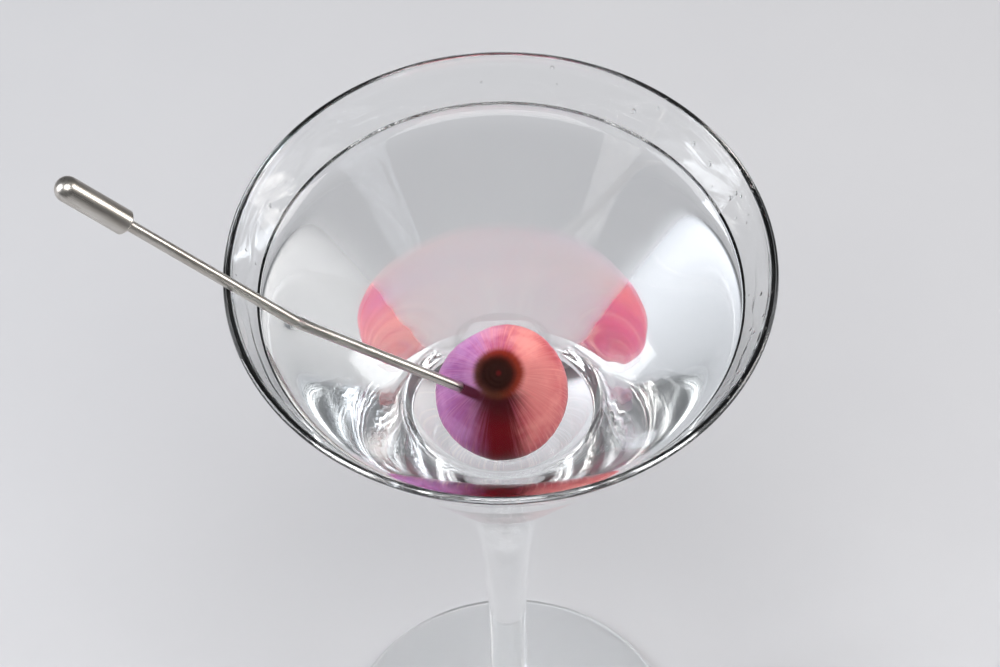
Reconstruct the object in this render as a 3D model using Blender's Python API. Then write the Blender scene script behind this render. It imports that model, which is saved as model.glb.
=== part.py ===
"""A cocktail of clear spirit in a stemmed V-shaped glass, with a pink pickled onion on a steel pick.

Metres, +Z up. The origin is the centre of the foot's flat underside, on the glass's own axis.
The pick leans on the left of the rim, at -X, and the onion hangs from it, sunk in the drink.
"""

import math

import bmesh
import bpy
from mathutils import Matrix, Vector

# Glass: the driving sizes. A depth is measured down from the rim's top.
RIM_RADIUS = 0.0475
RIM_HEIGHT = 0.172
WALL = 0.0012
WALL_SLOPE = math.radians(61.2)
BOWL_ROUNDING = 0.0205
FLARE_DEPTH = 0.069
FLARE_LENGTH = 0.0095
STEM_RADIUS = 0.00365
STEM_TOP_DEPTH = 0.120
STEM_FOOT_HEIGHT = 0.032
FOOT_RADIUS = 0.035
FOOT_EDGE = 0.0014
FOOT_RISE = 0.0046
FOOT_RISE_RADIUS = 0.0125
GLASS_SIDES = 64

# Drink: a flat level that creeps up the wall at its edge
LEVEL_DEPTH = 0.0100
MENISCUS_RISE = 0.0020
MENISCUS_REACH = 0.0040
GAP = 0.0003

# Onion: half sizes across, along the view and along its own axis, whose root end leans to -Y
ONION_HALF = Vector((0.0116, 0.0131, 0.0120))
ONION_CENTRE = Vector((-0.0003, -0.0010, RIM_HEIGHT - 0.0495))
ONION_LEAN = math.radians(10.0)
ONION_SIDE_LEAN = math.radians(-3.0)
FLAT_AT = math.radians(118.0)
FLAT_WIDTH = math.radians(30.0)
FLAT_SHARE = 0.075
ROOT_RADIUS = 0.0038
ROOT_PIT = 0.0007
ONION_RINGS = 22
ONION_SPOKES = 36

# Pick: a round bar that rests on the lip, runs down to the right and ends in the onion
PICK_RADIUS = 0.001
PICK_RIM_Y = -0.00355
PICK_FALL = math.radians(47.6)
PICK_SWING = math.radians(-0.75)
PICK_OUTSIDE = 0.0378
PICK_IN_ONION = 0.0175
PICK_POINT = 0.006
PICK_BLUNT = 0.00025
KNOB_RADIUS = 0.00225
KNOB_LENGTH = 0.0153
KNOB_CHAMFER = 0.0006
PICK_SIDES = 20

SMOOTH_UNDER = math.radians(40.0)

# The lip is a half circle over the wall's level thickness
LIP_RADIUS = WALL / math.sin(WALL_SLOPE) / 2
LIP_HEIGHT = RIM_HEIGHT - LIP_RADIUS


def arc(centre, radius, start, end, steps):
    """Points (radius, height) on an arc, both ends included; angles turn from the radius's way."""
    found = []
    for i in range(steps + 1):
        a = start + (end - start) * i / steps
        found.append((centre[0] + radius * math.cos(a), centre[1] + radius * math.sin(a)))
    return found


def straight(start, end, steps):
    """Evenly spaced points from start to end, both included."""
    found = []
    for i in range(steps + 1):
        t = i / steps
        found.append((start[0] + (end[0] - start[0]) * t, start[1] + (end[1] - start[1]) * t))
    return found


def bend(start, handle_1, handle_2, end, steps):
    """Points on a cubic Bezier curve, without its first."""
    found = []
    points = (start, handle_1, handle_2, end)
    for i in range(1, steps + 1):
        t = i / steps
        s = 1.0 - t
        weights = (s * s * s, 3 * s * s * t, 3 * s * t * t, t * t * t)
        found.append(tuple(sum(w * p[k] for w, p in zip(weights, points)) for k in (0, 1)))
    return found


def wall_radius(height, inset=0.0):
    """The straight wall's outer radius at this height, or a surface inset under it."""
    return RIM_RADIUS - (LIP_HEIGHT - height) / math.tan(WALL_SLOPE) - inset / math.sin(WALL_SLOPE)


def bowl_inside(inset, top, straight_steps, round_steps):
    """The bowl's inside from the height top down to the axis, inset this far from the outside.

    The straight wall runs into a sphere about the axis, which it touches.
    """
    apex_height = LIP_HEIGHT - (RIM_RADIUS - inset / math.sin(WALL_SLOPE)) * math.tan(WALL_SLOPE)
    rounding = BOWL_ROUNDING - (inset - WALL)
    centre = (0.0, apex_height + rounding / math.cos(WALL_SLOPE))
    touch = WALL_SLOPE - math.pi / 2
    round_part = arc(centre, rounding, touch, -math.pi / 2, round_steps)
    start = (wall_radius(top, inset), top)
    found = straight(start, round_part[0], straight_steps) + round_part[1:]
    found[-1] = (0.0, found[-1][1])
    return found


def lip():
    """The rounded rim, from the inner wall over the top to the outer wall, without its ends."""
    return arc((RIM_RADIUS - LIP_RADIUS, LIP_HEIGHT), LIP_RADIUS, math.pi, 0.0, 6)[1:-1]


def glass_outside():
    """The outside, from the lip down the wall and the stem to the foot's edge and centre."""
    flare_height = RIM_HEIGHT - FLARE_DEPTH
    flare = (wall_radius(flare_height), flare_height)
    pulled = (wall_radius(flare_height - FLARE_LENGTH), flare_height - FLARE_LENGTH)
    stem_top = (STEM_RADIUS, RIM_HEIGHT - STEM_TOP_DEPTH)
    stem_pull = (STEM_RADIUS * 1.05, stem_top[1] + 0.025)
    stem_foot = (STEM_RADIUS, STEM_FOOT_HEIGHT)
    half = FOOT_EDGE / 2
    foot_inner = (FOOT_RISE_RADIUS, FOOT_RISE)
    foot_outer = (FOOT_RADIUS - half, FOOT_EDGE)
    found = straight((RIM_RADIUS, LIP_HEIGHT), flare, 4)
    found += bend(flare, pulled, stem_pull, stem_top, 9)
    found.append(stem_foot)
    low_pull = (STEM_RADIUS, STEM_FOOT_HEIGHT * 0.42)
    foot_pull = (FOOT_RISE_RADIUS * 0.5, FOOT_RISE * 1.45)
    found += bend(stem_foot, low_pull, foot_pull, foot_inner, 7)
    found.append(foot_outer)
    found += arc((FOOT_RADIUS - half, half), half, math.pi / 2, -math.pi / 2, 4)[1:]
    found.append((0.0, 0.0))
    return found


def drink_profile():
    """From the level's centre out to the raised edge, and down the wall to the bottom."""
    level = RIM_HEIGHT - LEVEL_DEPTH
    edge = level + MENISCUS_RISE
    inset = WALL + GAP
    edge_radius = wall_radius(edge, inset)
    flat_radius = edge_radius - MENISCUS_REACH
    steps = 4
    found = [(0.0, level), (flat_radius * 0.5, level)]
    for i in range(steps):
        t = i / steps
        found.append((flat_radius + MENISCUS_REACH * t, level + MENISCUS_RISE * t * t))
    return found + bowl_inside(inset, edge, 4, 7)


def body_of(name, rings, coat):
    """A closed solid from rings of points, each a full ring or one point on the axis."""
    bm = bmesh.new()
    made = [[bm.verts.new(point) for point in ring] for ring in rings]
    for upper, lower in zip(made, made[1:]):
        count = max(len(upper), len(lower))
        for i in range(count):
            j = (i + 1) % count
            if len(upper) == 1:
                bm.faces.new((upper[0], lower[i], lower[j]))
            elif len(lower) == 1:
                bm.faces.new((upper[i], lower[0], upper[j]))
            else:
                bm.faces.new((upper[i], lower[i], lower[j], upper[j]))
    bmesh.ops.recalc_face_normals(bm, faces=bm.faces)
    mesh = bpy.data.meshes.new(name)
    bm.to_mesh(mesh)
    bm.free()
    mesh.shade_smooth()
    mesh.set_sharp_from_angle(angle=SMOOTH_UNDER)
    mesh.materials.append(coat)
    body = bpy.data.objects.new(name, mesh)
    bpy.context.scene.collection.objects.link(body)
    return body


def turned(name, profile, sides, coat):
    """A solid turned about Z from (radius, height) points that start and end on the axis."""
    rings = []
    for radius, height in profile:
        if radius == 0.0:
            rings.append([(0.0, 0.0, height)])
            continue
        angles = [2 * math.pi * i / sides for i in range(sides)]
        rings.append([(radius * math.cos(a), radius * math.sin(a), height) for a in angles])
    return body_of(name, rings, coat)


def coating(name, colour, roughness, metallic=0.0, transmission=0.0, ior=1.5):
    made = bpy.data.materials.new(name)
    made.use_nodes = True
    shader = made.node_tree.nodes["Principled BSDF"]
    shader.inputs["Base Color"].default_value = (*colour, 1.0)
    shader.inputs["Roughness"].default_value = roughness
    shader.inputs["Metallic"].default_value = metallic
    shader.inputs["Transmission Weight"].default_value = transmission
    shader.inputs["IOR"].default_value = ior
    return made


def make_glass():
    clear = coating("clear_glass", (1.0, 1.0, 1.0), 0.02, transmission=1.0, ior=1.52)
    inside = bowl_inside(WALL, LIP_HEIGHT, 5, 8)
    profile = inside[::-1] + lip() + glass_outside()
    return turned("glass", profile, GLASS_SIDES, clear)


def make_drink():
    spirit = coating("clear_spirit", (0.98, 0.99, 1.0), 0.02, transmission=1.0, ior=1.35)
    return turned("drink", drink_profile(), GLASS_SIDES, spirit)


def onion_point(polar, around, swell):
    """A point of the skin in the onion's own axes; polar runs from the root at the top down."""
    across = math.sin(polar)
    # A flattened cheek behind the root, and the opposite side a little fuller
    turn = math.remainder(around - FLAT_AT, 2 * math.pi)
    cheek = 0.02 * (1.0 - math.cos(turn)) - FLAT_SHARE * math.exp(-((turn / FLAT_WIDTH) ** 2))
    # Fuller shoulders near the root, and a narrower end below
    fullness = 1.0 + 0.04 * math.sin(2.0 * polar)
    radius = across * fullness * (1.0 + across * cheek)
    x = radius * (ONION_HALF.x + swell) * math.cos(around)
    y = radius * (ONION_HALF.y + swell) * math.sin(around)
    z = math.cos(polar) * (ONION_HALF.z + swell)
    off_axis = math.hypot(x, y)
    if z > 0.0 and off_axis < ROOT_RADIUS:
        z -= ROOT_PIT * (0.5 + 0.5 * math.cos(math.pi * off_axis / ROOT_RADIUS))
    return (x, y, z)


def onion_place():
    lean = Matrix.Rotation(ONION_LEAN, 4, "X") @ Matrix.Rotation(ONION_SIDE_LEAN, 4, "Y")
    return Matrix.Translation(ONION_CENTRE) @ lean


def onion_body(name, swell, coat):
    rings = [[onion_point(0.0, 0.0, swell)]]
    for i in range(1, ONION_RINGS):
        polar = math.pi * i / ONION_RINGS
        angles = [2 * math.pi * j / ONION_SPOKES for j in range(ONION_SPOKES)]
        rings.append([onion_point(polar, a, swell) for a in angles])
    rings.append([onion_point(math.pi, 0.0, swell)])
    body = body_of(name, rings, coat)
    body.matrix_world = onion_place()
    return body


def pick_line():
    """Where the pick's centre line passes over the lip, and its direction down to the onion."""
    fall = math.cos(PICK_FALL)
    direction = Vector(
        (fall * math.cos(PICK_SWING), fall * math.sin(PICK_SWING), -math.sin(PICK_FALL))
    )
    clear = (PICK_RADIUS + LIP_RADIUS + GAP) / math.cos(PICK_FALL)
    x = -math.sqrt((RIM_RADIUS - LIP_RADIUS) ** 2 - PICK_RIM_Y ** 2)
    return Vector((x, PICK_RIM_Y, LIP_HEIGHT + clear)), direction


def pick_reach():
    """The length from the lip to the point: to the onion's skin, and on into it."""
    over_lip, direction = pick_line()
    to_onion = onion_place().inverted()
    start = to_onion @ over_lip
    way = to_onion.to_3x3() @ direction
    a = sum((way[k] / ONION_HALF[k]) ** 2 for k in range(3))
    b = sum(way[k] * start[k] / ONION_HALF[k] ** 2 for k in range(3))
    c = sum((start[k] / ONION_HALF[k]) ** 2 for k in range(3)) - 1.0
    return (-b - math.sqrt(b * b - a * c)) / a + PICK_IN_ONION


def pick_place():
    """The pick's own axes: the origin at its point, and +Z up its line to the knob."""
    over_lip, direction = pick_line()
    turn = (-direction).to_track_quat("Z", "Y").to_matrix().to_4x4()
    return Matrix.Translation(over_lip + direction * pick_reach()) @ turn


def pick_profile(swell=0.0):
    """From the point up the bar to the shoulder and the domed end of the knob."""
    whole = pick_reach() + PICK_OUTSIDE
    shoulder = whole - KNOB_LENGTH
    found = [(0.0, -swell), (PICK_BLUNT + swell, 0.0)]
    found += [(PICK_RADIUS + swell, PICK_POINT), (PICK_RADIUS + swell, shoulder - swell)]
    found.append((KNOB_RADIUS + swell - KNOB_CHAMFER, shoulder - swell))
    found.append((KNOB_RADIUS + swell, shoulder - swell + KNOB_CHAMFER))
    dome = arc((0.0, whole - KNOB_RADIUS), KNOB_RADIUS + swell, 0.0, math.pi / 2, 5)
    return found + dome[:-1] + [(0.0, whole + swell)]


def make_pick():
    steel = coating("polished_steel", (0.78, 0.77, 0.75), 0.12, metallic=1.0)
    body = turned("pick", pick_profile(), PICK_SIDES, steel)
    body.matrix_world = pick_place()
    return body


def as_cutter(body):
    body.hide_render = True
    body.display_type = "WIRE"
    return body


def cut(target, cutter):
    modifier = target.modifiers.new("cut_by_" + cutter.name, "BOOLEAN")
    modifier.operation = "DIFFERENCE"
    modifier.object = cutter


def main():
    for old in list(bpy.data.objects):
        bpy.data.objects.remove(old)
    make_glass()
    make_pick()
    drink = make_drink()
    pink = coating("pickled_onion", (0.80, 0.27, 0.33), 0.35)
    onion = onion_body("onion", 0.0, pink)
    onion_hollow = as_cutter(onion_body("onion_hollow", GAP, pink))
    channel = as_cutter(turned("pick_channel", pick_profile(GAP), PICK_SIDES, pink))
    channel.matrix_world = pick_place()
    cut(onion, channel)
    cut(drink, onion_hollow)
    cut(drink, channel)


main()
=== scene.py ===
"""The looks of the cocktail: clear glass, spirit, pink pickled onion and steel pick.

Metres, +Z up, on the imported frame. The glass stands on z = 0 about the Z axis, the pick leans on
the left of the rim, at -X, and the onion's root end leans to the viewer, at -Y.
"""

import math

import bpy
import numpy as np
from mathutils import Matrix, Vector


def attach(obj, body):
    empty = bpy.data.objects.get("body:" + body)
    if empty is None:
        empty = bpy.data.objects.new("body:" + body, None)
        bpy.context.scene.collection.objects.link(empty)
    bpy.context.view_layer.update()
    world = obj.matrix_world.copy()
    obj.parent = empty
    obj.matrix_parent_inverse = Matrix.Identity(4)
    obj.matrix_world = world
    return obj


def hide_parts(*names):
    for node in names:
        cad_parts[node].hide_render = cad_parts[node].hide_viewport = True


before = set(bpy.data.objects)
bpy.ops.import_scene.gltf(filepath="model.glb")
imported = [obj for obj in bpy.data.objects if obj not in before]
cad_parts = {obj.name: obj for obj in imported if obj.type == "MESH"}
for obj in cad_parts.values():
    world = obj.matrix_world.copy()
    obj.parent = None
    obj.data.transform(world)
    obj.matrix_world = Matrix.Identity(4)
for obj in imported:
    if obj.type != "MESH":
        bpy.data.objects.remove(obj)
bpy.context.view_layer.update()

# Glass, as in the CAD. A depth is measured down from the rim's top.
RIM_RADIUS = 0.0475
RIM_HEIGHT = 0.172
WALL = 0.0012
WALL_SLOPE = math.radians(61.2)
BOWL_ROUNDING = 0.0205
FLARE_DEPTH = 0.069
FLARE_LENGTH = 0.0095
STEM_RADIUS = 0.00365
STEM_TOP_DEPTH = 0.120
STEM_FOOT_HEIGHT = 0.032
FOOT_RADIUS = 0.035
FOOT_EDGE = 0.0014
FOOT_RISE = 0.0046
FOOT_RISE_RADIUS = 0.0125
FOOT_HOLLOW = 0.0005
GLASS_SIDES = 320
LIP_RADIUS = WALL / math.sin(WALL_SLOPE) / 2
LIP_HEIGHT = RIM_HEIGHT - LIP_RADIUS

# The drawn glass's faint waves, low in the bowl
RIPPLE_DEPTH = 0.000016
RIPPLE_HEIGHT = 0.122
RIPPLE_SPREAD = 0.017
RIPPLE_LENGTH = 0.0027
RIPPLE_TOP = 0.142
RIPPLE_SEED = 5

# The wet film on the inner wall over the level, and the drops left there
FILM_DEPTH = 0.00007
FILM_TOP = RIM_HEIGHT - 0.0022
FILM_SCALLOP = 0.0022
FILM_SEED = 31
DROP_COUNT = 34
DROP_LEAST_RADIUS = 0.00016
DROP_MOST_RADIUS = 0.00046
DROP_RINGS = 8
DROP_SIDES = 14
DROP_SEED = 17

# Drink: its level, and the edge that creeps up the wall and round the pick
LEVEL = RIM_HEIGHT - 0.0100
CREEP = 0.0020
CREEP_REACH = 0.0013
INTO_WALL = 0.0001
PICK_CREEP = 0.0007
PICK_CREEP_REACH = 0.0009
FLAT_STEPS = 60
EDGE_STEPS = 48
DRINK_SIDES = 448

# Onion, as in the CAD
ONION_HALF = Vector((0.0116, 0.0131, 0.0120))
ONION_CENTRE = Vector((-0.0003, -0.0010, RIM_HEIGHT - 0.0495))
ONION_LEAN = math.radians(10.0)
ONION_SIDE_LEAN = math.radians(-3.0)
FLAT_AT = math.radians(118.0)
FLAT_WIDTH = math.radians(30.0)
FLAT_SHARE = 0.075
ROOT_RADIUS = 0.0038
ROOT_PIT = 0.0007
ONION_RINGS = 260
ONION_SPOKES = 380
RIB_SEED = 11
FIBRE_SEED = 23

# Marks on the onion: its root disc, the dark painted shadow below it, and the pick under the skin
ROOT_COLOUR_RADIUS = 0.0042
ROOT_BACK = 0.0007
ROOT_SIDE = 0.00015
ROOT_LENGTHEN = 1.12
SHADE_HALF_WIDTH = 0.0056
SHADE_FADE = 0.0062
SHADE_FADE_POWER = 1.2
SHADE_LEFT = 0.0006
UNDER_SKIN_LENGTH = 0.0066
SHOWN_FALL = math.radians(26.0)

# Pick, as in the CAD
PICK_RADIUS = 0.001
PICK_RIM_Y = -0.00355
PICK_FALL = math.radians(47.6)
PICK_SWING = math.radians(-0.75)
PICK_OUTSIDE = 0.0378
PICK_IN_ONION = 0.0175
PICK_POINT = 0.006
PICK_BLUNT = 0.00025
KNOB_RADIUS = 0.00225
KNOB_LENGTH = 0.0153
KNOB_CHAMFER = 0.0006
PICK_GAP = 0.0003
PICK_SOFT_EDGE = 0.00012
PICK_SIDES = 96

# Camera: it looks at the rim's centre, which the photo shows off the frame's middle
IMAGE_WIDTH = 1000
IMAGE_HEIGHT = 667
VIEW_FALL = 0.946237
VIEW_ROLL = 0.0204185
VIEW_DISTANCE = 0.6175
RIM_PIXEL = (500.586, 266.394)
FOCAL_PIXELS = 3615.1
SENSOR = 36.0

# The floor, with a hair of air under the foot so that light gets in there
FLOOR_GAP = 0.00005
FLOOR_HALF = 3.0

# The height on the glass's axis that the lamps aim at
LIGHT_AIM = 0.13


# Outlines

def arc(centre, radius, start, end, steps):
    """Points (radius, height) on an arc, both ends included."""
    found = []
    for i in range(steps + 1):
        a = start + (end - start) * i / steps
        found.append((centre[0] + radius * math.cos(a), centre[1] + radius * math.sin(a)))
    return found


def straight(start, end, steps):
    """Evenly spaced points from start to end, both included."""
    found = []
    for i in range(steps + 1):
        t = i / steps
        found.append((start[0] + (end[0] - start[0]) * t, start[1] + (end[1] - start[1]) * t))
    return found


def bend(start, handle_1, handle_2, end, steps):
    """Points on a cubic Bezier curve, without its first."""
    found = []
    points = (start, handle_1, handle_2, end)
    for i in range(1, steps + 1):
        t = i / steps
        s = 1.0 - t
        weights = (s * s * s, 3 * s * s * t, 3 * s * t * t, t * t * t)
        found.append(tuple(sum(w * p[k] for w, p in zip(weights, points)) for k in (0, 1)))
    return found


def wall_radius(height, inset=0.0):
    """The straight wall's outer radius at this height, or a surface inset under it."""
    return RIM_RADIUS - (LIP_HEIGHT - height) / math.tan(WALL_SLOPE) - inset / math.sin(WALL_SLOPE)


def bowl_inside(inset, top, straight_steps, round_steps):
    """The bowl's inside from the height top down to the axis, inset this far from the outside."""
    apex_height = LIP_HEIGHT - (RIM_RADIUS - inset / math.sin(WALL_SLOPE)) * math.tan(WALL_SLOPE)
    rounding = BOWL_ROUNDING - (inset - WALL)
    centre = (0.0, apex_height + rounding / math.cos(WALL_SLOPE))
    touch = WALL_SLOPE - math.pi / 2
    round_part = arc(centre, rounding, touch, -math.pi / 2, round_steps)
    start = (wall_radius(top, inset), top)
    found = straight(start, round_part[0], straight_steps) + round_part[1:]
    found[-1] = (0.0, found[-1][1])
    return found


def lip():
    """The rounded rim, from the inner wall over the top to the outer wall, without its ends."""
    return arc((RIM_RADIUS - LIP_RADIUS, LIP_HEIGHT), LIP_RADIUS, math.pi, 0.0, 12)[1:-1]


def glass_outside():
    """The outside, from the lip down the wall and the stem to the foot's edge and centre."""
    flare_height = RIM_HEIGHT - FLARE_DEPTH
    flare = (wall_radius(flare_height), flare_height)
    pulled = (wall_radius(flare_height - FLARE_LENGTH), flare_height - FLARE_LENGTH)
    stem_top = (STEM_RADIUS, RIM_HEIGHT - STEM_TOP_DEPTH)
    stem_pull = (STEM_RADIUS * 1.05, stem_top[1] + 0.025)
    stem_foot = (STEM_RADIUS, STEM_FOOT_HEIGHT)
    half = FOOT_EDGE / 2
    foot_inner = (FOOT_RISE_RADIUS, FOOT_RISE)
    foot_outer = (FOOT_RADIUS - half, FOOT_EDGE)
    lower = (wall_radius(RIPPLE_TOP), RIPPLE_TOP)
    found = straight((RIM_RADIUS, LIP_HEIGHT), lower, 12) + straight(lower, flare, 60)[1:]
    found += bend(flare, pulled, stem_pull, stem_top, 40)
    found += straight(stem_top, stem_foot, 6)[1:]
    low_pull = (STEM_RADIUS, STEM_FOOT_HEIGHT * 0.42)
    foot_pull = (FOOT_RISE_RADIUS * 0.5, FOOT_RISE * 1.45)
    found += bend(stem_foot, low_pull, foot_pull, foot_inner, 30)
    found += straight(foot_inner, foot_outer, 8)[1:]
    found += arc((FOOT_RADIUS - half, half), half, math.pi / 2, -math.pi / 2, 10)[1:]
    # The foot stands on a ring, hollowed a little within it
    stand = FOOT_RADIUS * 0.90
    steps = 12
    for i in range(1, steps + 1):
        t = i / steps
        found.append((stand * (1.0 - t), FOOT_HOLLOW * math.sin(math.pi / 2 * t) ** 2))
    return found


# Meshes

def ring_faces(count, sides, start=0):
    """Faces of a closed body: one end's point with index start, count rings, the other end's."""
    pairs = [(side, (side + 1) % sides) for side in range(sides)]
    first = start + 1
    found = [(start, first + a, first + b) for a, b in pairs]
    for ring in range(count - 1):
        upper = first + ring * sides
        lower = upper + sides
        found += [(upper + a, lower + a, lower + b, upper + b) for a, b in pairs]
    low = first + (count - 1) * sides
    end = first + count * sides
    return found + [(low + a, end, low + b) for a, b in pairs]


def smooth_mesh(name, points, faces):
    mesh = bpy.data.meshes.new(name)
    mesh.from_pydata(points, [], faces)
    mesh.validate()
    mesh.shade_smooth()
    made = bpy.data.objects.new(name, mesh)
    bpy.context.scene.collection.objects.link(made)
    return made


def grid_mesh(name, rings):
    """A closed smooth mesh from an array of rings (ring, side, xyz) between two end points."""
    first, body, last = rings
    points = np.concatenate([[first], body.reshape(-1, 3), [last]])
    return smooth_mesh(name, points.tolist(), ring_faces(*body.shape[:2]))


def turned_rings(profile, sides):
    """Rings round Z of (radius, height) points that start and end on the axis."""
    rims = np.array(profile[1:-1])
    a = np.arange(sides) * (2 * math.pi / sides)
    body = np.empty((len(rims), sides, 3))
    body[:, :, 0] = rims[:, :1] * np.cos(a)
    body[:, :, 1] = rims[:, :1] * np.sin(a)
    body[:, :, 2] = rims[:, 1:]
    return (0.0, 0.0, profile[0][1]), body, (0.0, 0.0, profile[-1][1])


def faces_outward(piece):
    """Turns the faces round where the mesh encloses a negative volume."""
    mesh = piece.data
    mesh.calc_loop_triangles()
    points = np.empty(len(mesh.vertices) * 3)
    mesh.vertices.foreach_get("co", points)
    corners = np.empty(len(mesh.loop_triangles) * 3, np.int32)
    mesh.loop_triangles.foreach_get("vertices", corners)
    triangles = points.reshape(-1, 3)[corners.reshape(-1, 3)]
    if np.linalg.det(triangles).sum() < 0.0:
        mesh.flip_normals()


def attribute(piece, name, values):
    """A number for each vertex, which the material reads."""
    made = piece.data.attributes.new(name, "FLOAT", "POINT")
    made.data.foreach_set("value", np.ascontiguousarray(values, np.float32).ravel())


def vector_attribute(piece, name, values):
    made = piece.data.attributes.new(name, "FLOAT_VECTOR", "POINT")
    made.data.foreach_set("vector", np.ascontiguousarray(values, np.float32).ravel())


def piece_of(made, node, material):
    made.data.materials.append(material)
    faces_outward(made)
    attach(made, "root")
    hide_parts(node)
    return made


# Where the pick and the onion lie

def onion_place():
    lean = Matrix.Rotation(ONION_LEAN, 4, "X") @ Matrix.Rotation(ONION_SIDE_LEAN, 4, "Y")
    return Matrix.Translation(ONION_CENTRE) @ lean


def pick_line():
    """Where the pick's centre line passes over the lip, and its direction down to the onion."""
    fall = math.cos(PICK_FALL)
    direction = Vector(
        (fall * math.cos(PICK_SWING), fall * math.sin(PICK_SWING), -math.sin(PICK_FALL))
    )
    clear = (PICK_RADIUS + LIP_RADIUS + PICK_GAP) / math.cos(PICK_FALL)
    x = -math.sqrt((RIM_RADIUS - LIP_RADIUS) ** 2 - PICK_RIM_Y ** 2)
    return Vector((x, PICK_RIM_Y, LIP_HEIGHT + clear)), direction


def pick_reach():
    """The length from the lip to the point: to the onion's skin, and on into it."""
    over_lip, direction = pick_line()
    to_onion = onion_place().inverted()
    start = to_onion @ over_lip
    way = to_onion.to_3x3() @ direction
    a = sum((way[k] / ONION_HALF[k]) ** 2 for k in range(3))
    b = sum(way[k] * start[k] / ONION_HALF[k] ** 2 for k in range(3))
    c = sum((start[k] / ONION_HALF[k]) ** 2 for k in range(3)) - 1.0
    return (-b - math.sqrt(b * b - a * c)) / a + PICK_IN_ONION


def pick_place():
    """The pick's own axes: the origin at its point, and +Z up its line to the knob."""
    over_lip, direction = pick_line()
    turn = (-direction).to_track_quat("Z", "Y").to_matrix().to_4x4()
    return Matrix.Translation(over_lip + direction * pick_reach()) @ turn


# Smooth noise for relief, the same each run

class Noise:
    """Smooth noise from a seeded lattice that repeats, for arrays of points in three dimensions."""

    def __init__(self, seed, size=32):
        self.size = size
        self.values = np.random.default_rng(seed).uniform(-1.0, 1.0, (size, size, size))

    def at(self, x, y, z):
        whole = [np.floor(v).astype(int) for v in (x, y, z)]
        part = [v - w for v, w in zip((x, y, z), whole)]
        part = [p * p * p * (10.0 + p * (6.0 * p - 15.0)) for p in part]
        total = 0.0
        for dx in (0, 1):
            for dy in (0, 1):
                for dz in (0, 1):
                    weight = (
                        (part[0] if dx else 1.0 - part[0])
                        * (part[1] if dy else 1.0 - part[1])
                        * (part[2] if dz else 1.0 - part[2])
                    )
                    cell = tuple((w + d) % self.size for w, d in zip(whole, (dx, dy, dz)))
                    total = total + weight * self.values[cell]
        return total


# Material helpers

class Nodes:
    """A material's node tree, with short calls that add a node and link its inputs."""

    def __init__(self, name):
        self.material = bpy.data.materials.new(name)
        self.material.use_nodes = True
        self.tree = self.material.node_tree
        self.shader = self.tree.nodes["Principled BSDF"]

    def set(self, **values):
        """Plain numbers and colours on the shader; an underscore stands for a space."""
        for key, value in values.items():
            self.shader.inputs[key.replace("_", " ")].default_value = value

    def link(self, output, key):
        self.tree.links.new(output, self.shader.inputs[key])

    def add(self, kind, inputs=(), **settings):
        node = self.tree.nodes.new("ShaderNode" + kind)
        for key, value in settings.items():
            setattr(node, key, value)
        for key, value in dict(inputs).items():
            if isinstance(value, bpy.types.NodeSocket):
                self.tree.links.new(value, node.inputs[key])
            else:
                node.inputs[key].default_value = value
        return node

    def attribute(self, name, vector=False):
        node = self.add("Attribute", attribute_name=name)
        return node.outputs["Vector" if vector else "Fac"]

    def place(self):
        """The piece's own coordinates."""
        return self.add("TexCoord").outputs["Object"]

    def noise(self, vector, scale, detail=2.0, roughness=0.5, distortion=0.0):
        node = self.add(
            "TexNoise",
            {
                "Vector": vector,
                "Scale": scale,
                "Detail": detail,
                "Roughness": roughness,
                "Distortion": distortion,
            },
        )
        return node.outputs["Fac"]

    def stretch(self, vector, scale):
        node = self.add("Mapping", {"Vector": vector, "Scale": scale})
        return node.outputs["Vector"]

    def range(self, value, low, high, to_low=0.0, to_high=1.0, smooth=False):
        node = self.add(
            "MapRange",
            {
                "Value": value,
                "From Min": low,
                "From Max": high,
                "To Min": to_low,
                "To Max": to_high,
            },
            interpolation_type="SMOOTHSTEP" if smooth else "LINEAR",
        )
        return node.outputs["Result"]

    def math(self, operation, a, b=0.0):
        node = self.add("Math", {0: a, 1: b}, operation=operation)
        return node.outputs["Value"]

    def mix(self, share, a, b):
        node = self.add("Mix", data_type="RGBA")
        sockets = [s for s in node.inputs if s.type == "RGBA"]
        for socket, value in ((node.inputs[0], share), (sockets[0], a), (sockets[1], b)):
            if isinstance(value, bpy.types.NodeSocket):
                self.tree.links.new(value, socket)
            else:
                socket.default_value = value
        return [s for s in node.outputs if s.type == "RGBA"][0]

    def bump(self, height, distance, strength=1.0):
        node = self.add("Bump", {"Height": height, "Distance": distance, "Strength": strength})
        self.link(node.outputs["Normal"], "Normal")


def colour(red, green, blue):
    """A colour from its sRGB values of 0 to 255."""
    found = []
    for value in (red, green, blue):
        v = value / 255.0
        found.append(v / 12.92 if v <= 0.04045 else ((v + 0.055) / 1.055) ** 2.4)
    return (*found, 1.0)


# Colours of the onion
VIOLET_PINK = colour(152, 92, 146)
MAUVE = colour(138, 62, 104)
CORAL = colour(178, 78, 86)
DEEP_CORAL = colour(134, 32, 46)
SALMON = colour(232, 150, 146)
ROSE = colour(220, 112, 144)
PALE_SKIN = colour(222, 150, 142)
PALE_VIOLET = colour(188, 138, 182)
PALE_STRIPE = colour(240, 178, 172)
DEEP_PINK = colour(150, 46, 76)
SHADE_CRIMSON = colour(88, 0, 9)
SHADE_ROOT = colour(46, 0, 4)
UNDER_SKIN = colour(64, 4, 22)
RUST = colour(118, 32, 5)
OLIVE_BROWN = colour(86, 46, 28)
BROWN = colour(36, 8, 3)
LIGHT_BROWN = colour(50, 24, 15)
DARK_RED = colour(80, 8, 12)


# Glass

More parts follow.
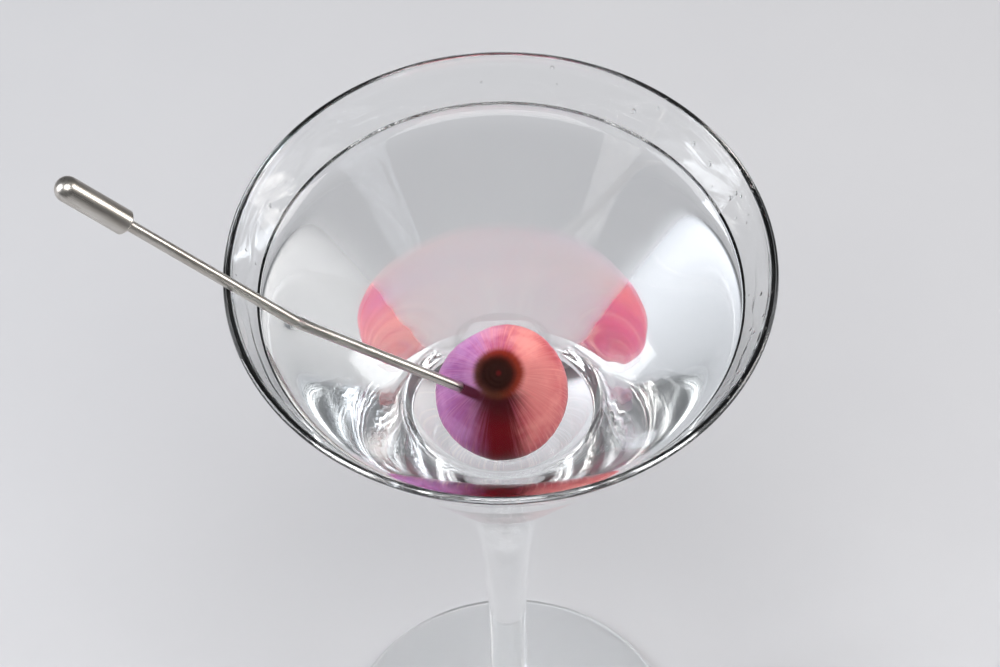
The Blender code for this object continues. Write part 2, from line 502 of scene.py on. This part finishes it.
def glass_material():
    made = Nodes("clear_glass")
    made.set(Transmission_Weight=1.0, IOR=1.52, Base_Color=(0.985, 0.992, 0.99, 1.0))
    place = made.place()
    # Faint smears and dust, which only the highlights show
    smear = made.noise(made.stretch(place, (1.0, 1.0, 0.35)), 90.0, 5.0, 0.6, 0.4)
    made.link(made.range(smear, 0.52, 0.80, 0.0, 0.035, True), "Roughness")
    return made.material


def rippled(rings):
    """The drawn glass's faint waves, strongest low in the bowl and none at the rim and the foot."""
    first, body, last = rings
    waves = Noise(RIPPLE_SEED)
    x, y, z = (body[:, :, k] for k in range(3))
    radius = np.maximum(np.hypot(x, y), 1e-6)
    turn_x = x / radius
    turn_y = y / radius
    strength = np.exp(-(((z - RIPPLE_HEIGHT) / RIPPLE_SPREAD) ** 2))
    wave = waves.at(turn_x * 0.9 + 7.0, turn_y * 0.9 + 7.0, z / RIPPLE_LENGTH)
    long_wave = waves.at(turn_x * 1.3 + 19.0, turn_y * 1.3 + 19.0, z / RIPPLE_LENGTH / 3)
    off = RIPPLE_DEPTH * strength * (0.45 * wave + 1.9 * long_wave)
    body[:, :, 0] += turn_x * off
    body[:, :, 1] += turn_y * off
    return first, body, last


def glass_inside():
    """The bowl's inside from the lip down, with closer rings where the film and the ripples are."""
    film_end = LEVEL - 0.001
    top = (wall_radius(LIP_HEIGHT, WALL), LIP_HEIGHT)
    level = (wall_radius(film_end, WALL), film_end)
    middle = (wall_radius(RIPPLE_TOP, WALL), RIPPLE_TOP)
    upper = straight(top, level, 42) + straight(level, middle, 10)[1:]
    return upper[:-1] + bowl_inside(WALL, RIPPLE_TOP, 26, 36)


def filmed(rings, count):
    """A thin wet film on the inner wall over the level, in legs below a scalloped edge."""
    first, body, last = rings
    legs = Noise(FILM_SEED)
    x, y, z = (body[:count, :, k] for k in range(3))
    radius = np.hypot(x, y)
    turn_x = x / np.maximum(radius, 1e-6)
    turn_y = y / np.maximum(radius, 1e-6)
    sway = z * 60.0
    leg = legs.at(turn_x * 9.0 + 12.0 + sway * 0.3, turn_y * 9.0 + 12.0, sway)
    fine = legs.at(turn_x * 19.0 + 25.0, turn_y * 19.0 + 25.0, sway * 1.5)
    scallop = legs.at(turn_x * 7.0 + 3.0, turn_y * 7.0 + 3.0, np.full_like(z, 0.5))
    edge = FILM_TOP - FILM_SCALLOP * (1.0 + scallop)
    # It starts under its edge and ends a little over the level, with a bead along the edge
    over = np.clip((edge - z) / 0.0006, 0.0, 1.0)
    over = over * np.clip((z - LEVEL - 0.0012) / 0.0008, 0.0, 1.0)
    bead = np.exp(-(((z - edge + 0.0004) / 0.0003) ** 2)) * 0.8
    off = FILM_DEPTH * over * (0.35 + 0.65 * np.abs(leg) + 0.3 * fine + bead)
    body[:count, :, 0] -= turn_x * off * math.sin(WALL_SLOPE)
    body[:count, :, 1] -= turn_y * off * math.sin(WALL_SLOPE)
    body[:count, :, 2] += off * math.cos(WALL_SLOPE)
    return first, body, last


def make_glass():
    inside = glass_inside()
    profile = inside[::-1] + lip() + glass_outside()
    first, body, last = rippled(turned_rings(profile, GLASS_SIDES))
    made = grid_mesh("stem_glass", filmed((first, body, last), len(inside) - 1))
    return piece_of(made, "glass", glass_material())


def drop_points(seat, outward, radius, height, slump):
    """Points of one drop, end to end: a low dome whose underside is sunk into the wall."""
    down = Vector((-outward.x * outward.z, -outward.y * outward.z, 1.0 - outward.z ** 2))
    down = -down.normalized()
    side = outward.cross(down)
    found = [seat + outward * height]
    for i in range(1, DROP_RINGS):
        polar = math.pi * i / DROP_RINGS
        for j in range(DROP_SIDES):
            a = 2 * math.pi * j / DROP_SIDES
            reach = radius * math.sin(polar)
            along = reach * math.cos(a) * (1.0 + slump * (math.cos(a) > 0.0))
            fuller = 1.0 + 0.25 * slump * math.cos(a) * math.sin(polar)
            rise = height * math.cos(polar) * fuller
            found.append(seat + down * along + side * reach * math.sin(a) + outward * rise)
    return found + [seat - outward * height]


def make_drops(material):
    """Small drops left on the inner wall over the level, most of them on the right."""
    random = np.random.default_rng(DROP_SEED)
    points = []
    faces = []
    for _ in range(DROP_COUNT):
        turn = random.normal(math.radians(15.0), math.radians(38.0))
        turn += (random.random() < 0.3) * 2.6
        height = random.uniform(LEVEL + 0.0030, RIM_HEIGHT - 0.0016)
        radius = random.uniform(DROP_LEAST_RADIUS, DROP_MOST_RADIUS)
        outward = Vector((math.cos(turn), math.sin(turn), 0.0))
        inward = -outward * math.sin(WALL_SLOPE) + Vector((0.0, 0.0, math.cos(WALL_SLOPE)))
        seat = outward * wall_radius(height, WALL) + Vector((0.0, 0.0, height))
        seat += inward * radius * 0.10
        slump = random.uniform(0.1, 0.6)
        faces += ring_faces(DROP_RINGS - 1, DROP_SIDES, len(points))
        points += drop_points(seat, inward, radius, radius * 0.55, slump)
    made = smooth_mesh("wall_drops", [tuple(point) for point in points], faces)
    made.data.materials.append(material)
    faces_outward(made)
    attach(made, "root")
    return made


# Drink

def drink_material():
    made = Nodes("clear_spirit")
    made.set(
        Transmission_Weight=1.0,
        IOR=1.345,
        Roughness=0.0,
        Base_Color=(0.985, 0.99, 0.995, 1.0),
    )
    return made.material


def drink_profile():
    """From the level's centre out to the wall, and down just inside the wall to the bottom."""
    inset = WALL - INTO_WALL
    contact = wall_radius(LEVEL + CREEP, WALL)
    found = [(0.0, LEVEL)]
    edge = contact - 8 * CREEP_REACH
    for i in range(1, FLAT_STEPS + 1):
        found.append((edge * i / FLAT_STEPS, LEVEL))
    for i in range(1, EDGE_STEPS + 1):
        t = i / EDGE_STEPS
        radius = edge + (contact - edge) * t
        found.append((radius, LEVEL + CREEP * math.exp(-(contact - radius) / CREEP_REACH)))
    return found + bowl_inside(inset, LEVEL + CREEP, 40, 60)


def pick_at_level():
    """The middle of the pick's slanted cut through the level."""
    over_lip, direction = pick_line()
    return over_lip + direction * ((LEVEL - over_lip.z) / direction.z)


def make_drink(material):
    first, body, last = turned_rings(drink_profile(), DRINK_SIDES)
    # The surface also creeps up round the pick, whose cut with the level is an ellipse
    middle = pick_at_level()
    x = (body[:, :, 0] - middle.x) * math.sin(PICK_FALL)
    y = body[:, :, 1] - middle.y
    clear = np.maximum(np.hypot(x, y) - PICK_RADIUS, 0.0)
    on_top = np.arange(body.shape[0])[:, None] < FLAT_STEPS + EDGE_STEPS
    rise = PICK_CREEP * np.exp(-clear / PICK_CREEP_REACH)
    body[:, :, 2] += np.where(on_top, rise, 0.0)
    made = grid_mesh("spirit", (first, body, last))
    return piece_of(made, "drink", material)


# Onion

def onion_shape(polar, around):
    """Skin points in the onion's own axes, from arrays of angles; polar runs down from the root."""
    across = np.sin(polar)
    turn = np.remainder(around - FLAT_AT + math.pi, 2 * math.pi) - math.pi
    cheek = 0.02 * (1.0 - np.cos(turn)) - FLAT_SHARE * np.exp(-((turn / FLAT_WIDTH) ** 2))
    fullness = 1.0 + 0.04 * np.sin(2.0 * polar)
    radius = across * fullness * (1.0 + across * cheek)
    x = radius * ONION_HALF.x * np.cos(around)
    y = radius * ONION_HALF.y * np.sin(around)
    z = np.cos(polar) * ONION_HALF.z
    off_axis = np.hypot(x, y)
    pit = ROOT_PIT * (0.5 + 0.5 * np.cos(np.pi * np.minimum(off_axis / ROOT_RADIUS, 1.0)))
    z = z - np.where(polar < math.pi / 2, pit, 0.0)
    return x, y, z


def root_share(x, y):
    """0 at the root disc's middle and 1 at its edge; the disc is a little longer to the back."""
    return np.hypot(x - ROOT_SIDE, (y - ROOT_BACK) / ROOT_LENGTHEN) / ROOT_COLOUR_RADIUS


def onion_relief(polar, around, share, under, rim):
    """Metres added to the skin: ribs, fibres from the root, root rings and the pick's ridge."""
    ribs = Noise(RIB_SEED)
    fine = Noise(FIBRE_SEED)
    across = np.sin(polar)
    turn_x = np.cos(around)
    turn_y = np.sin(around)
    broad = ribs.at(turn_x * 2.3 + 9.0, turn_y * 2.3 + 9.0, polar * 1.1)
    rib = ribs.at(turn_x * 7.0 + 9.0, turn_y * 7.0 + 9.0, polar * 0.8)
    stripe = ribs.at(turn_x * 14.0 + 17.0, turn_y * 14.0 + 17.0, polar * 0.7)
    fibre = fine.at(turn_x * 30.0 + 40.0, turn_y * 30.0 + 40.0, polar * 1.6)
    relief = across * (0.00012 * broad + 0.00007 * rib + 0.00003 * stripe + 0.00002 * fibre)
    relief = relief + 0.00016 * under + 0.00010 * rim
    # The root end: low rings about its pit, with a frayed edge
    near_root = (polar < math.pi / 2) & (share < 1.4)
    ring = np.cos(share * 2 * math.pi * 4.5)
    ring_fade = np.clip(1.0 - share, 0.0, 1.0)
    fray = fine.at(turn_x * 14.0 + 20.0, turn_y * 14.0 + 20.0, share * 6.0)
    edge = np.exp(-(((share - 0.95) / 0.16) ** 2))
    root = 0.00003 * ring * ring_fade ** 0.5 + edge * (0.00004 + 0.00010 * fray)
    return relief + np.where(near_root, root, 0.0)


def onion_skin(made):
    """The skin's colour: violet pink on one side and coral on the other, partly painted lamp tints,
    with painted shade low in front and a paler painted backlight low at the back.
    """
    spread = made.attribute("meridian", True)
    place = made.add("SeparateXYZ", {"Vector": made.place()})
    x, y, z = (place.outputs[k] for k in range(3))
    side = made.math("DIVIDE", x, ONION_HALF.x)
    back = made.math("DIVIDE", y, ONION_HALF.y)
    height = made.math("DIVIDE", z, ONION_HALF.z)
    fibre = made.noise(made.stretch(spread, (26.0, 26.0, 1.3)), 1.0, 4.0, 0.62)
    fine = made.noise(made.stretch(spread, (75.0, 75.0, 2.2)), 1.0, 3.0, 0.6)
    strand = made.noise(made.stretch(spread, (13.0, 13.0, 0.6)), 1.0, 2.0, 0.5)
    sheen_noise = made.noise(made.place(), 160.0, 3.0, 0.55)
    # The two sides meet in a line that wanders a little. The violet and the coral are partly the
    # skin's own colour and partly painted tints of a cool light on the left and a warm light on the
    # right.
    meet = made.math("ADD", side, made.range(strand, 0.3, 0.7, -0.10, 0.10))
    front = made.mix(made.range(meet, -0.60, 0.45, 0.0, 1.0, True), VIOLET_PINK, CORAL)
    # Painted shade: low on the front the skin turns darker, to mauve and deep coral
    lower = made.mix(made.range(meet, -0.5, 0.4, 0.0, 1.0, True), MAUVE, DEEP_CORAL)
    shaded_low_front = made.range(height, 0.25, -0.45, 0.0, 0.8, True)
    shaded_low_front = made.math("MULTIPLY", shaded_low_front, made.range(back, 0.10, -0.35, 0.0, 1.0, True))
    base = made.mix(shaded_low_front, front, lower)
    # Painted backlight: low on the back the skin turns paler, to salmon and rose
    backlit_skin = made.mix(made.range(side, -0.5, 0.5, 0.0, 1.0, True), SALMON, ROSE)
    low_back = made.range(height, 0.45, 0.0, 0.0, 0.9, True)
    far = made.math("MULTIPLY", made.range(back, -0.05, 0.70, 0.0, 1.0, True), low_back)
    base = made.mix(far, base, backlit_skin)
    # Pale fibres run from the root, with darker ones between them
    pale = made.mix(made.range(meet, -0.50, 0.35, 0.0, 1.0, True), PALE_VIOLET, PALE_SKIN)
    base = made.mix(made.range(fibre, 0.50, 0.74, 0.0, 0.50, True), base, pale)
    thread = made.noise(made.stretch(spread, (48.0, 48.0, 1.0)), 1.0, 2.0, 0.5)
    base = made.mix(made.range(thread, 0.58, 0.70, 0.0, 0.35, True), base, pale)
    base = made.mix(made.range(fine, 0.50, 0.28, 0.0, 0.30, True), base, DEEP_PINK)
    stripe = made.noise(made.stretch(spread, (27.0, 27.0, 0.8)), 1.0, 1.0, 0.4)
    low = made.range(height, 0.4, -0.3, 0.08, 0.60)
    stripes = made.math("MULTIPLY", made.range(stripe, 0.52, 0.62, 0.0, 1.0, True), low)
    base = made.mix(stripes, base, PALE_STRIPE)
    # Painted sheen: pale cloudy patches, stronger toward the top, stand in for soft highlights
    sheen_patches = made.range(sheen_noise, 0.38, 0.66, 0.0, 0.62, True)
    painted_sheen = made.math("MULTIPLY", sheen_patches, made.range(height, 0.0, 0.6))
    base = made.mix(painted_sheen, base, pale)
    # A painted highlight: the coral side is palest beside the root
    around = made.add("SeparateXYZ", {"Vector": spread}).outputs[0]
    beside = made.math(
        "MULTIPLY",
        made.range(around, 0.35, 1.0, 0.0, 0.50, True),
        made.range(height, 0.35, 0.75, 0.0, 1.0, True),
    )
    base = made.mix(beside, base, PALE_SKIN)
    return base, fibre, fine


def onion_material():
    made = Nodes("pickled_onion")
    made.set(
        Subsurface_Weight=0.30,
        Subsurface_Radius=(0.0030, 0.0011, 0.0010),
        Subsurface_Scale=1.0,
        Specular_IOR_Level=0.02,
    )
    root = made.attribute("root")
    base, fibre, fine = onion_skin(made)
    # A painted shadow: the dark crimson shade below the root ends in streaks, which are stronger on
    # the coral side
    place = made.add("SeparateXYZ", {"Vector": made.place()})
    streaked = made.range(place.outputs[0], -0.001, 0.004, 0.07, 0.13)
    streak = made.math("MULTIPLY", made.range(fibre, 0.35, 0.65, -1.0, 1.0), streaked)
    shade = made.math("ADD", made.attribute("shade"), streak)
    dark = made.mix(made.range(root, 2.4, 1.1, 0.0, 0.9, True), SHADE_CRIMSON, SHADE_ROOT)
    base = made.mix(made.range(shade, 0.10, 0.92, 0.0, 0.99, True), base, dark)
    # The pick shows dimly through the skin where it runs just under it
    under = made.range(made.attribute("under"), 0.0, 0.7, 0.0, 0.96)
    base = made.mix(under, base, UNDER_SKIN)
    # The root end, brown with a rusty frayed edge and a dark red middle
    frayed = made.math("ADD", root, made.range(fine, 0.3, 0.7, -0.07, 0.07))
    toward = made.math("ADD", place.outputs[0], made.math("MULTIPLY", place.outputs[1], 0.5))
    edge = made.mix(made.range(toward, -0.003, 0.002, 0.0, 1.0, True), OLIVE_BROWN, RUST)
    base = made.mix(made.range(frayed, 1.24, 0.90, 0.0, 0.95, True), base, edge)
    inner = made.math("SUBTRACT", frayed, made.range(toward, -0.004, 0.004, 0.84, 0.64))
    base = made.mix(made.range(inner, 0.30, -0.16, 0.0, 1.0, True), base, BROWN)
    ring = made.math("SINE", made.math("MULTIPLY", root, 28.0))
    ring_share = made.range(ring, 0.1, 1.0, 0.0, 0.28)
    ring_share = made.math("MULTIPLY", ring_share, made.range(root, 0.95, 0.75))
    base = made.mix(ring_share, base, LIGHT_BROWN)
    base = made.mix(made.range(root, 0.17, 0.05, 0.0, 0.9, True), base, DARK_RED)
    made.link(base, "Base Color")
    made.link(made.range(fine, 0.3, 0.7, 0.26, 0.42), "Roughness")
    height = made.math("ADD", made.math("MULTIPLY", fibre, 0.6), made.math("MULTIPLY", fine, 0.4))
    made.bump(height, 0.00006, 0.6)
    return made.material


def by_the_pick(points, place):
    """Shares from 0 to 1: where the pick runs just under the skin, and the rim of its hole."""
    over_lip, direction = pick_line()
    to_onion = place.inverted()
    way = to_onion.to_3x3() @ direction
    hole = to_onion @ over_lip + way * (pick_reach() - PICK_IN_ONION)
    outward = Vector([hole[k] / ONION_HALF[k] ** 2 for k in range(3)]).normalized()
    shown_to = to_onion.to_3x3() @ Vector((0.0, -math.sin(SHOWN_FALL), math.cos(SHOWN_FALL)))
    across = way.cross(shown_to).normalized()
    onward = outward.cross(across)
    onward = (onward if onward.dot(way) > 0.0 else -onward).normalized()
    off = points - np.array(hole)
    near = np.linalg.norm(off, axis=-1) < UNDER_SKIN_LENGTH * 2
    sideways = off @ np.array(across)
    ahead = off @ np.array(onward)
    band = np.exp(-((sideways / PICK_RADIUS) ** 4))
    start = np.clip((ahead + 0.0004) / 0.0006, 0.0, 1.0)
    end = np.clip((UNDER_SKIN_LENGTH - ahead) / (UNDER_SKIN_LENGTH * 0.55), 0.0, 1.0)
    from_hole = np.hypot(sideways, ahead * 0.75)
    rim = np.exp(-(((from_hole - PICK_RADIUS * 1.25) / 0.00035) ** 2))
    return np.where(near, band * start * end, 0.0), np.where(near, rim, 0.0)


def make_onion():
    rings = np.linspace(0.0, math.pi, ONION_RINGS + 1)[1:-1, None]
    # Closer rings near the root, where the relief is finest
    rings = rings - 0.35 * np.sin(rings) * np.cos(rings / 2) ** 2
    spokes = (np.arange(ONION_SPOKES) * (2 * math.pi / ONION_SPOKES))[None, :]
    polar, around = np.broadcast_arrays(rings, spokes)
    x, y, z = onion_shape(polar, around)
    body = np.stack([x, y, z], axis=-1)
    outward = np.stack([v / half ** 2 for v, half in zip((x, y, z), ONION_HALF)], axis=-1)
    outward /= np.linalg.norm(outward, axis=-1, keepdims=True)
    place = onion_place()
    under, rim = by_the_pick(body, place)
    share = root_share(x, y)
    body = body + outward * onion_relief(polar, around, share, under, rim)[..., None]
    top = (0.0, 0.0, ONION_HALF.z - ROOT_PIT)
    made = grid_mesh("onion_skin", (top, body, (0.0, 0.0, -ONION_HALF.z)))
    made.matrix_world = place

    def whole(values, first, last):
        return np.concatenate([[first], values.ravel(), [last]])

    upper = polar < math.pi / 2
    root = np.where(upper, np.minimum(share, 3.0), 3.0)
    attribute(made, "root", whole(root, root_share(0.0, 0.0), 3.0))
    # The painted shadow is a dark band on the viewer's side, from the root down. It fades slowly
    # to the left, the violet side.
    beside = x + SHADE_LEFT
    fading = np.exp(-((np.abs(beside) / SHADE_FADE) ** SHADE_FADE_POWER))
    shade = np.where(beside < 0.0, fading, np.exp(-((beside / SHADE_HALF_WIDTH) ** 2)))
    shade = shade * np.clip((-y - 0.0008) / 0.0030, 0.0, 1.0)
    shade = shade * np.clip((z + 0.0085) / 0.0080, 0.0, 1.0)
    attribute(made, "shade", whole(shade, 0.0, 0.0))
    attribute(made, "under", whole(under, 0.0, 0.0))
    meridian = np.stack([np.cos(around), np.sin(around), polar], axis=-1).reshape(-1, 3)
    meridian = np.concatenate([[(0.0, 0.0, 0.0)], meridian, [(0.0, 0.0, math.pi)]])
    vector_attribute(made, "meridian", meridian)
    return piece_of(made, "onion", onion_material())


# Pick

def steel_material():
    made = Nodes("polished_steel")
    made.set(Metallic=1.0)
    place = made.attribute("along", True)
    brushed = made.noise(made.stretch(place, (2400.0, 2400.0, 60.0)), 1.0, 2.0, 0.5)
    marks = made.noise(made.stretch(place, (700.0, 700.0, 120.0)), 1.0, 3.0, 0.55)
    tone = made.mix(made.range(marks, 0.35, 0.70), colour(178, 172, 164), colour(208, 204, 198))
    made.link(tone, "Base Color")
    made.link(made.range(brushed, 0.3, 0.7, 0.26, 0.36), "Roughness")
    made.bump(brushed, 0.000003, 0.35)
    return made.material


def pick_profile():
    """From the point up the bar to the chamfered shoulder and the domed end of the knob."""
    whole = pick_reach() + PICK_OUTSIDE
    shoulder = whole - KNOB_LENGTH
    soft = PICK_SOFT_EDGE
    found = [(0.0, 0.0), (PICK_BLUNT * 0.7, 0.00002), (PICK_BLUNT, 0.0001)]
    found += straight((PICK_BLUNT, 0.0001), (PICK_RADIUS, PICK_POINT), 10)[1:]
    found += straight((PICK_RADIUS, PICK_POINT), (PICK_RADIUS, shoulder - soft), 40)[1:]
    corner = (PICK_RADIUS + soft, shoulder - soft)
    found += arc(corner, soft, math.pi, math.pi / 2, 6)[1:]
    # Both corners of the chamfer are rounded
    inner = (KNOB_RADIUS - KNOB_CHAMFER, shoulder)
    outer = (KNOB_RADIUS, shoulder + KNOB_CHAMFER)
    before_inner = (inner[0] - soft, inner[1])
    after_inner = (inner[0] + soft * 0.7, inner[1] + soft * 0.7)
    before_outer = (outer[0] - soft * 0.7, outer[1] - soft * 0.7)
    side_start = (outer[0], outer[1] + soft)
    found += bend(before_inner, inner, inner, after_inner, 6)
    found += bend(before_outer, outer, outer, side_start, 6)
    found += straight(side_start, (KNOB_RADIUS, whole - KNOB_RADIUS), 16)[1:]
    dome = arc((0.0, whole - KNOB_RADIUS), KNOB_RADIUS, 0.0, math.pi / 2, 24)
    return found + dome[1:-1] + [(0.0, whole)]


def make_pick():
    made = grid_mesh("steel_pick", turned_rings(pick_profile(), PICK_SIDES))
    # The material reads the pick's own axes, which are kept before the mesh is put in place
    own = np.empty(len(made.data.vertices) * 3)
    made.data.vertices.foreach_get("co", own)
    vector_attribute(made, "along", own)
    made.data.transform(pick_place())
    return piece_of(made, "pick", steel_material())


# Floor, light and camera

def make_floor():
    """A wide, flat, pale floor."""
    made = Nodes("pale_floor")
    made.set(Roughness=0.7)
    grain = made.noise(made.place(), 14.0, 4.0, 0.6)
    made.link(made.mix(grain, colour(198, 198, 201), colour(205, 205, 207)), "Base Color")
    mesh = bpy.data.meshes.new("floor")
    corners = ((-1, -1), (1, -1), (1, 1), (-1, 1))
    corners = [(x * FLOOR_HALF, y * FLOOR_HALF, -FLOOR_GAP) for x, y in corners]
    mesh.from_pydata(corners, [], [(0, 1, 2, 3)])
    mesh.materials.append(made.material)
    floor = bpy.data.objects.new("floor", mesh)
    bpy.context.scene.collection.objects.link(floor)


def softbox(name, place, width, height, power, tint):
    lamp = bpy.data.lights.new(name, "AREA")
    lamp.shape = "RECTANGLE"
    lamp.size = width
    lamp.size_y = height
    lamp.energy = power
    lamp.color = tint
    made = bpy.data.objects.new(name, lamp)
    made.location = place
    aim = Vector((0.0, 0.0, LIGHT_AIM)) - Vector(place)
    made.rotation_euler = aim.to_track_quat("-Z", "Y").to_euler()
    bpy.context.scene.collection.objects.link(made)


def make_light():
    world = bpy.data.worlds.new("studio")
    world.use_nodes = True
    background = world.node_tree.nodes["Background"]
    background.inputs["Color"].default_value = (0.55, 0.56, 0.58, 1.0)
    background.inputs["Strength"].default_value = 0.30
    bpy.context.scene.world = world
    softbox("softbox_top", (0.0, -0.35, 1.30), 0.9, 0.7, 10.0, (1.0, 1.0, 1.0))
    softbox("softbox_left", (-0.95, -0.05, 0.60), 0.5, 0.9, 9.0, (0.92, 0.95, 1.0))
    softbox("softbox_right", (1.00, 0.10, 0.65), 0.4, 0.8, 7.0, (1.0, 0.96, 0.92))


def make_camera():
    forward = Vector((0.0, math.cos(VIEW_FALL), -math.sin(VIEW_FALL)))
    right = Vector((1.0, 0.0, 0.0))
    up = right.cross(forward)
    off = Vector((
        (RIM_PIXEL[0] - IMAGE_WIDTH / 2) / FOCAL_PIXELS,
        -(RIM_PIXEL[1] - IMAGE_HEIGHT / 2) / FOCAL_PIXELS,
        1.0,
    )).normalized()
    turn = Vector((0.0, 0.0, 1.0)).rotation_difference(off).to_matrix()
    rows = turn @ Matrix.Rotation(VIEW_ROLL, 3, "Z") @ Matrix((right, up, forward))
    axes = Matrix((rows[0], rows[1], -rows[2])).transposed().to_4x4()
    lens = bpy.data.cameras.new("camera")
    lens.sensor_width = SENSOR
    lens.lens = FOCAL_PIXELS * SENSOR / IMAGE_WIDTH
    made = bpy.data.objects.new("camera", lens)
    rim_centre = Vector((0.0, 0.0, RIM_HEIGHT))
    made.matrix_world = Matrix.Translation(rim_centre - forward * VIEW_DISTANCE) @ axes
    bpy.context.scene.collection.objects.link(made)
    bpy.context.scene.camera = made


make_glass()
clear_spirit = drink_material()
make_drink(clear_spirit)
make_drops(clear_spirit)
make_onion()
make_pick()
make_floor()
make_light()
make_camera()
bpy.context.scene.view_settings.view_transform = "Standard"
bpy.context.scene.cycles.max_bounces = 32
bpy.context.scene.cycles.glossy_bounces = 32
bpy.context.scene.cycles.transmission_bounces = 32
bpy.context.scene.cycles.blur_glossy = 0.0
